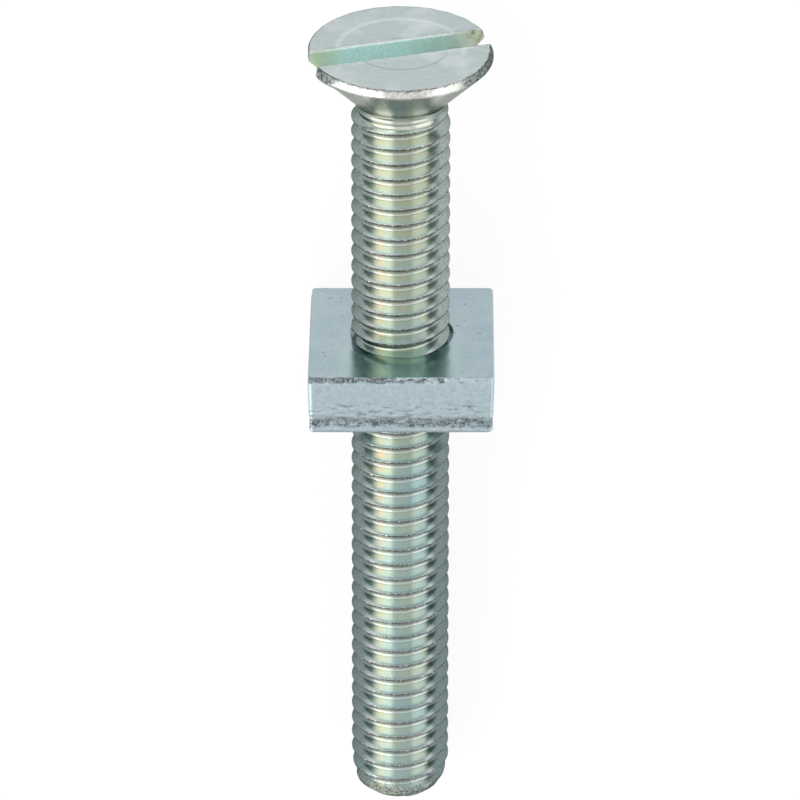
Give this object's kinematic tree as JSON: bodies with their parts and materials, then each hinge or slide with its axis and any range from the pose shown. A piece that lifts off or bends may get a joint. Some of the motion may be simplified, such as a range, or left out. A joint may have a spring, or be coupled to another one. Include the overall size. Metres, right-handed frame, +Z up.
{
  "type": "gutter bolt",
  "caption": "Slotted countersunk bolt with a square nut run part way up its thread, lying as it rests.",
  "frame": {"origin": "on the surface the bolt lies on, under the middle of its length and width", "axes": "+X from the head towards the tip, +Y across the bolt along the nut's lower edge, +Z up"},
  "size_m": [0.0504, 0.011, 0.013],
  "materials": {
    "bolt_zinc": "bright zinc plate on a rolled thread, with a faint green and straw passivation tint",
    "nut_zinc": "satin zinc plate with a faint blue passivation tint on sheared steel"
  },
  "bodies": {
    "bolt": {"bolt": "bolt_zinc"},
    "nut": {"square_nut": "nut_zinc"}
  },
  "joints": [
    {"name": "nut_travel", "type": "slide", "parent": "bolt", "child": "nut", "axis": [0.9951, 0, -0.0992], "range_m": [-0.014, 0.027]}
  ]
}
